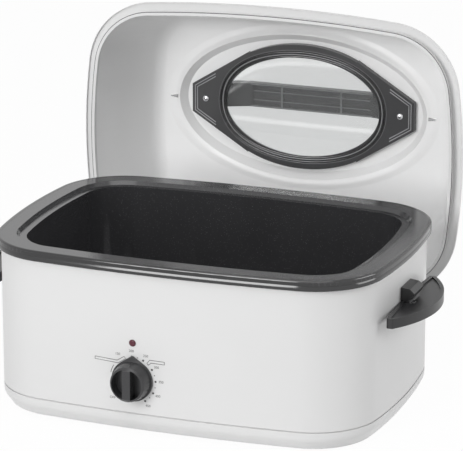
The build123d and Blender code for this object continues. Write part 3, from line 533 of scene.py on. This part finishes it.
# Hinge brackets, arms, pins and cross rod.
# The lid's linkage is galvanised steel: forked brackets welded to the back
# wall, flat links, headed pins and a round cross rod. The zinc has a spangle.
galvanised = finish(
    "galvanised_sheet", (0.60, 0.61, 0.62), 0.36, 160.0, 0.00006, metallic=1.0, uneven=0.16
)
coat(
    galvanised, "hinge_bracket_left", "hinge_bracket_right", "swing_arm_left", "swing_arm_right",
    "pivot_rod", "lid_ears",
)
plated = finish(
    "bright_plating", (0.80, 0.80, 0.82), 0.14, 900.0, 0.00002, metallic=1.0, uneven=0.04
)
coat(plated, "hinge_pins")

# Roasting pan.
# The lift-out pan is drawn steel with charcoal enamel inside and out. The
# glaze is smooth and glossy, with pale specks.
enamel = finish("charcoal_enamel", (0.032, 0.032, 0.034), 0.16, 900.0, 0.00003, uneven=0.12)
ENAMEL_IOR = 1.6
SPECK_SCALE, SPECK_HEART, SPECK_EDGE = 420.0, 0.10, 0.16
tree = enamel.node_tree
specks = tree.nodes.new("ShaderNodeTexVoronoi")
specks.inputs["Scale"].default_value = SPECK_SCALE
sparse = tree.nodes.new("ShaderNodeMapRange")
sparse.inputs["From Min"].default_value = SPECK_HEART
sparse.inputs["From Max"].default_value = SPECK_EDGE
sparse.inputs["To Min"].default_value = 1.0
sparse.inputs["To Max"].default_value = 0.0
flecked = tree.nodes.new("ShaderNodeMix")
flecked.data_type = "RGBA"
flecked.inputs["B"].default_value = (0.13, 0.13, 0.135, 1.0)
shader = shader_of(enamel)
shader.inputs["IOR"].default_value = ENAMEL_IOR
tree.links.new(tree.nodes["Texture Coordinate"].outputs["Object"], specks.inputs["Vector"])
tree.links.new(specks.outputs["Distance"], sparse.inputs["Value"])
tree.links.new(sparse.outputs["Result"], flecked.inputs["Factor"])
tree.links.new(shader.inputs["Base Color"].links[0].from_socket, flecked.inputs["A"])
tree.links.new(flecked.outputs["Result"], shader.inputs["Base Color"])
smoothed("roasting_pan", "lift_out_pan", "pan", "dark_enamel", enamel, crease=30.0)

# Rolled lip of the pan.
# The pan's edge is rolled over in a full round, where the glaze pools thick and
# glossy. It shows as one bright line above the trim.
pooled = finish("pooled_glaze", (0.008, 0.008, 0.009), 0.10, 700.0, 0.00002, uneven=0.1)
shader_of(pooled).inputs["IOR"].default_value = GLOSS_IOR
LIP_FOOT = 0.2247
LIP_OUTER, LIP_INNER = -0.0001, 0.0003
LIP_END, LIP_END_TOP, LIP_END_UNDER = 0.0060, 0.2311, 0.2308
lip_section = [(LIP_OUTER, LIP_FOOT)] + rounded(0.0029, 0.2282, 0.0030, 0, 90)
lip_section += [(LIP_END, LIP_END_TOP), (LIP_END, LIP_END_UNDER)]
lip_section += rounded(0.0032, 0.2276, 0.0029, 90, 0) + [(LIP_INNER, LIP_FOOT)]
carried("pan_lip_roll", lip_section, "pan", "dark_enamel", pooled)

# Rack and its bails.
# The rack is nickel-plated wire: an oval frame on stub feet, cross bars welded
# on top, and a folding bail with two eyes at each end.
for node, name, body in (
    ("rack_frame", "rack_frame_wire", "rack"),
    ("rack_bars", "rack_bar_wires", "rack"),
    ("rack_bail_left", "bail_wire_left", "bail_left"),
    ("rack_bail_right", "bail_wire_right", "bail_right"),
):
    smoothed(node, name, body, "plated", plated, crease=50.0)

# Lid shell.
# The lid is deep drawn steel. Its inside and the flared band round its edge are
# white enamel and its outside is charcoal. The inside white is set lighter than the
# wrap's, painted light against the shade of the deep crown, and the band's darker,
# a painted shade. A shallow rib is pressed into the crown round the window.
LID_BACK = 0.2025 - 0.0936746
LID_MIDDLE = 0.2808
WINDOW_ACROSS = -0.025
WINDOW_Z = LID_MIDDLE - WINDOW_ACROSS
RIB_WIDTH, RIB_HEIGHT, RIB_DEPTH = 0.378, 0.222, 0.0022
LID_HEART, BAND_DEPTH = 0.06, 0.0125


def on_lid(x, across, up):
    """A place on the open lid from its length, width and height as it lies closed."""
    return Vector((x, LID_BACK + up, LID_MIDDLE - across))


# The inside white is lighter than the wrap's white enamel: painted light to offset the shade in the
# deep crown.
lid_white_and_painted_light = finish("lid_white_enamel_painted_light", (0.90, 0.90, 0.90), 0.30, 900.0, 0.00003, uneven=0.01)
tree = lid_white_and_painted_light.node_tree
centred = tree.nodes.new("ShaderNodeMapping")
centred.inputs["Location"].default_value = (0.0, 0.0, -WINDOW_Z / RIB_HEIGHT)
centred.inputs["Scale"].default_value = (1 / RIB_WIDTH, 0.0, 1 / RIB_HEIGHT)
distance = tree.nodes.new("ShaderNodeTexGradient")
distance.gradient_type = "SPHERICAL"
rib = tree.nodes.new("ShaderNodeValToRGB")
rib.color_ramp.interpolation = "B_SPLINE"
for stop, height in ((0.462, 0.0), (0.476, 0.0), (0.500, 1.0), (0.524, 0.0), (0.538, 0.0)):
    rib.color_ramp.elements.new(stop).color = (height, height, height, 1.0)
rib.color_ramp.elements[0].color = (0, 0, 0, 1)
rib.color_ramp.elements[-1].color = (0, 0, 0, 1)
pressed = tree.nodes.new("ShaderNodeBump")
pressed.inputs["Strength"].default_value = 1.0
pressed.inputs["Distance"].default_value = RIB_DEPTH
tree.links.new(tree.nodes["Texture Coordinate"].outputs["Object"], centred.inputs["Vector"])
tree.links.new(centred.outputs["Vector"], distance.inputs["Vector"])
tree.links.new(distance.outputs["Fac"], rib.inputs["Fac"])
tree.links.new(rib.outputs["Color"], pressed.inputs["Height"])
tree.links.new(tree.nodes["Bump"].outputs["Normal"], pressed.inputs["Normal"])
tree.links.new(pressed.outputs["Normal"], shader_of(lid_white_and_painted_light).inputs["Normal"])
charcoal = finish("lid_charcoal_enamel", (0.045, 0.045, 0.049), 0.24, 900.0, 0.00004, uneven=0.08)
# The band takes a darker copy of the same white enamel, a painted shade.
band_white_painted_shade = finish("lid_band_painted_shade", (0.70, 0.70, 0.70), 0.34, 900.0, 0.00003, uneven=0.01)
lid = smoothed(
    "lid_shell", "lid_pressing", "lid", "charcoal_paint", lid_white_and_painted_light, charcoal, band_white_painted_shade,
    crease=24.0,
)
heart = on_lid(0.0, 0.0, LID_HEART)
for face in lid.data.polygons:
    if face.center.y < LID_BACK + BAND_DEPTH:
        face.material_index = 2
    elif face.normal.dot(face.center - heart) > 0:
        face.material_index = 1

# Hem line.
# A thin dark grey line runs round the rolled hem where it meets the flared band,
# a painted shadow line.
hem_shadow_grey = finish("painted_hem_shadow", (0.10, 0.10, 0.105), 0.5, 1500.0, 0.00005, uneven=0.15)
HEM_INSET, HEM_UP, HEM_HALF = 0.0089, 0.0006, 0.0007
hem_points = [on_lid(x, across, HEM_UP) for x, across in rim_line(HEM_INSET)]
fit(drawn_line(hem_points, HEM_HALF, 2, closed=True), "hem_shadow_line", "lid", "silicone", hem_shadow_grey)

# Steam vents.
# A small teardrop hood is pressed over each of the two slots in the crown, with
# its open end towards the window. It is bare grey steel.
vent_steel = finish(
    "vent_steel", (0.40, 0.40, 0.405), 0.4, 700.0, 0.00005,
    metallic=0.3, uneven=0.12, streak=(0.2, 1, 1),
)
VENT_X, VENT_UP, VENT_CUT = 0.190, 0.1388, 0.1390
for side, word in ((-1, "left"), (1, "right")):
    bpy.ops.mesh.primitive_cone_add(
        vertices=28, radius1=0.0026, radius2=0.0005, depth=0.0110,
        location=on_lid(side * VENT_X, WINDOW_ACROSS, VENT_UP), rotation=(0, side * math.pi / 2, 0),
    )
    hood = bpy.context.object
    bpy.ops.object.transform_apply(location=True, rotation=True, scale=True)
    edit_all(hood)
    bpy.ops.mesh.bisect(
        plane_co=on_lid(0, 0, VENT_CUT), plane_no=(0, 1, 0), clear_outer=True, use_fill=True
    )
    bpy.ops.mesh.bevel(offset=0.0005, segments=2)
    bpy.ops.object.mode_set(mode="OBJECT")
    bpy.ops.object.shade_smooth_by_angle(angle=math.radians(40))
    fit(hood, "steam_vent_" + word, "lid", "galvanised", vent_steel)

# Window frame.
# A black moulded frame is clamped under the crown. Two glossy rims run round the
# glass, each with a thin light grey line outside it that is a painted highlight, and
# two fine raised ridges follow the edges of each tab, coloured light grey as a painted highlight.
frame_black = finish("frame_black", (0.040, 0.040, 0.042), 0.30, 2200.0, 0.00006, uneven=0.12)
# The two light greys are painted highlights for the thin lines on the rims and tab ridges.
dim_highlight_grey = finish("painted_dim_highlight_grey", (0.150, 0.150, 0.155), 0.22, 2200.0, 0.00003, uneven=0.15)
highlight_grey = finish("painted_highlight_grey", (0.34, 0.34, 0.35), 0.26, 2200.0, 0.00003, uneven=0.15)
smoothed(
    "window_frame", "glass_frame", "lid", "black_plastic", frame_black,
    rounding=0.0010, crease=25.0,
)
FRAME_FACE = 0.1397
GLASS_HALF_WIDTH, GLASS_HALF_HEIGHT = 0.113, 0.0705
for name, grow, thick, shade in (
    ("frame_rim_inner", 0.0016, 0.0017, gloss_black),
    ("frame_highlight_inner", 0.0042, 0.0007, highlight_grey),
    ("frame_rim_outer", 0.0076, 0.0016, gloss_black),
    ("frame_highlight_outer", 0.0102, 0.0006, dim_highlight_grey),
):
    bpy.ops.curve.primitive_bezier_circle_add(
        radius=1.0, location=on_lid(0.0, WINDOW_ACROSS, FRAME_FACE), rotation=UPRIGHT
    )
    rim = bpy.context.object
    rim.data.resolution_u = 24
    rim.data.bevel_depth = thick
    rim.data.bevel_resolution = 3
    bpy.ops.object.mode_set(mode="EDIT")
    bpy.ops.curve.select_all(action="SELECT")
    bpy.ops.transform.resize(value=(GLASS_HALF_WIDTH + grow, 1.0, GLASS_HALF_HEIGHT + grow))
    bpy.ops.object.mode_set(mode="OBJECT")
    bpy.ops.object.convert(target="MESH")
    bpy.ops.object.shade_smooth()
    fit(bpy.context.object, name, "lid", "black_plastic", shade)
TAB_START, TAB_END, TAB_END_HALF = 0.128, 0.163, 0.0205
TAB_FLARE, TAB_TAPER = 0.6265, 0.62
TAB_LINE_HALF, TAB_LINE_UP = 0.0008, FRAME_FACE - 0.0001
# Each tab ridge is a thin tube in light grey, a painted highlight along the edge.
for side, word in ((-1, "left"), (1, "right")):
    for number, inset in enumerate((0.0042, 0.0074)):
        end, half = TAB_END - inset, TAB_END_HALF - inset * TAB_TAPER
        wide = half + (end - TAB_START) * TAB_FLARE
        corners = ((TAB_START, wide), (end, half), (end, -half), (TAB_START, -wide))
        ridge = drawn_line(
            [on_lid(side * x, WINDOW_ACROSS + across, TAB_LINE_UP) for x, across in corners],
            TAB_LINE_HALF, 2,
        )
        fit(ridge, f"tab_line_{word}_{number}", "lid", "black_plastic", highlight_grey)

# Window glass and its seal.
# Tempered glass, very slightly hazed by steam and heat, is held at its edge in
# a ring of dark grey silicone.
silicone = finish("grey_silicone", (0.06, 0.06, 0.062), 0.55, 1400.0, 0.00008, uneven=0.1)
coat(silicone, "window_gasket")
glass = finish("hazed_glass", (0.74, 0.75, 0.75), 0.03, 260.0, 0.00001, uneven=0.02)
GLASS_CLEAR, GLASS_IOR = 0.90, 1.5
shader_of(glass).inputs["Transmission Weight"].default_value = GLASS_CLEAR
shader_of(glass).inputs["IOR"].default_value = GLASS_IOR
coat(glass, "window_glass")

# Window screws.
# Two plated pan-head screws with crossed slots go through the frame and crown
# into the lid handle. The slots are dark bars set in the head, a painted shadow of the recess.
slot_shadow_paint = finish("slot_shadow", (0.05, 0.05, 0.05), 0.6, 900.0, 0.00002, metallic=0.5)
SCREW_X, SCREW_UP, HEAD_RADIUS, HEAD_FLATNESS = 0.143, FRAME_FACE - 0.0004, 0.0047, 0.62
CROSS_LENGTH, CROSS_WIDTH, CROSS_DEPTH, CROSS_PROUD = 0.0048, 0.0009, 0.0006, 0.0026
for side, word in ((-1, "left"), (1, "right")):
    middle = on_lid(side * SCREW_X, WINDOW_ACROSS, SCREW_UP)
    bpy.ops.mesh.primitive_uv_sphere_add(
        segments=32, ring_count=16, radius=HEAD_RADIUS, location=middle
    )
    head = bpy.context.object
    edit_all(head)
    bpy.ops.transform.resize(value=(1.0, HEAD_FLATNESS, 1.0))
    bpy.ops.mesh.bisect(plane_co=middle, plane_no=(0, 1, 0), clear_outer=True, use_fill=True)
    bpy.ops.object.mode_set(mode="OBJECT")
    bpy.ops.object.shade_smooth_by_angle(angle=math.radians(40))
    fit(head, "screw_head_" + word, "lid", "plated", plated)
    for number, (width, height) in enumerate((
        (CROSS_LENGTH, CROSS_WIDTH), (CROSS_WIDTH, CROSS_LENGTH),
    )):
        bpy.ops.mesh.primitive_cube_add(
            size=1.0, location=middle - Vector((0, CROSS_PROUD, 0)),
            scale=(width, CROSS_DEPTH, height),
        )
        slot_bar = bpy.context.object
        bpy.ops.object.transform_apply(location=True, rotation=True, scale=True)
        edit_all(slot_bar)
        bpy.ops.mesh.bevel(offset=0.00015, segments=2)
        bpy.ops.object.mode_set(mode="OBJECT")
        fit(slot_bar, f"screw_slot_{word}_{number}", "lid", "plated", slot_shadow_paint)
coat(plated, "window_screws")

# Lid handle.
# A long moulded bridge spans the window on the outside. It is hollow and ribbed
# underneath, where the glass shows it; the ribs are drawn as thin light grey lines, a painted
# highlight on their edges.
bridge_grey = finish("bridge_grey", (0.050, 0.050, 0.052), 0.26, 2200.0, 0.00005, uneven=0.12)
smoothed(
    "lid_handle", "lid_bridge", "lid", "black_plastic", bridge_grey, rounding=0.0010, crease=25.0
)
BRIDGE_UNDERSIDE = 0.1818
SIDE_REACH, INNER_REACH, CROSS_X = 0.090, 0.086, 0.044
# Each rib is a thin line in the highlight grey, a painted highlight on the rib's edge.
for number, (x_from, x_to, across_from, across_to, thick) in enumerate((
    (-SIDE_REACH, SIDE_REACH, -0.0405, -0.0405, 0.0008),
    (-INNER_REACH, INNER_REACH, -0.0315, -0.0315, 0.0006),
    (-INNER_REACH, INNER_REACH, -0.0185, -0.0185, 0.0006),
    (-SIDE_REACH, SIDE_REACH, -0.0095, -0.0095, 0.0008),
    (-CROSS_X, -CROSS_X, -0.0405, -0.0095, 0.0014),
    (CROSS_X, CROSS_X, -0.0405, -0.0095, 0.0014),
)):
    ends = [
        on_lid(x_from, across_from, BRIDGE_UNDERSIDE), on_lid(x_to, across_to, BRIDGE_UNDERSIDE)
    ]
    fit(
        drawn_line(ends, thick, 3, capped=True),
        f"bridge_rib_{number}", "lid", "black_plastic", highlight_grey,
    )
